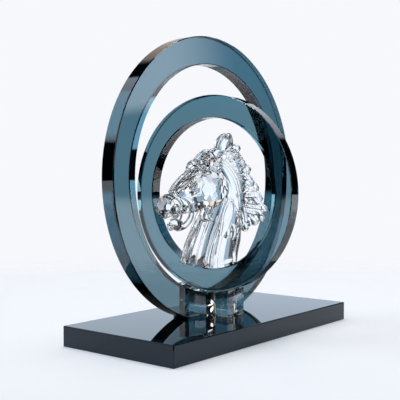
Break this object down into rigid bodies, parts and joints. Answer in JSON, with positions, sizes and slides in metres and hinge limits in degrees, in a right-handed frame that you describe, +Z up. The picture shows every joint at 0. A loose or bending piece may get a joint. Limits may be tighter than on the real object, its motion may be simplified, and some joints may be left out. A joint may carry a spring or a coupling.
{
  "type": "crystal horse head ornament",
  "caption": "Clear crystal horse bust seated in a smoked glass ring that crosses inside a larger ring on a black glass plate; a desk or shelf ornament.",
  "frame": {"origin": "middle of the ornament's footprint box, on the plate's underside", "axes": "+Z up, X along the plate's long edge with the horse's nose towards -X, +Y towards the ornament's back"},
  "size_m": [0.296, 0.2034, 0.306],
  "materials": {
    "black_glass": "polished",
    "smoked_glass": "polished",
    "clear_crystal": "polished"
  },
  "bodies": {
    "root": {"base_plate": "black_glass", "large_ring": "smoked_glass", "small_ring": "smoked_glass", "front_block": "clear_crystal", "rear_block": "clear_crystal", "horse_head": "clear_crystal"}
  },
  "joints": []
}
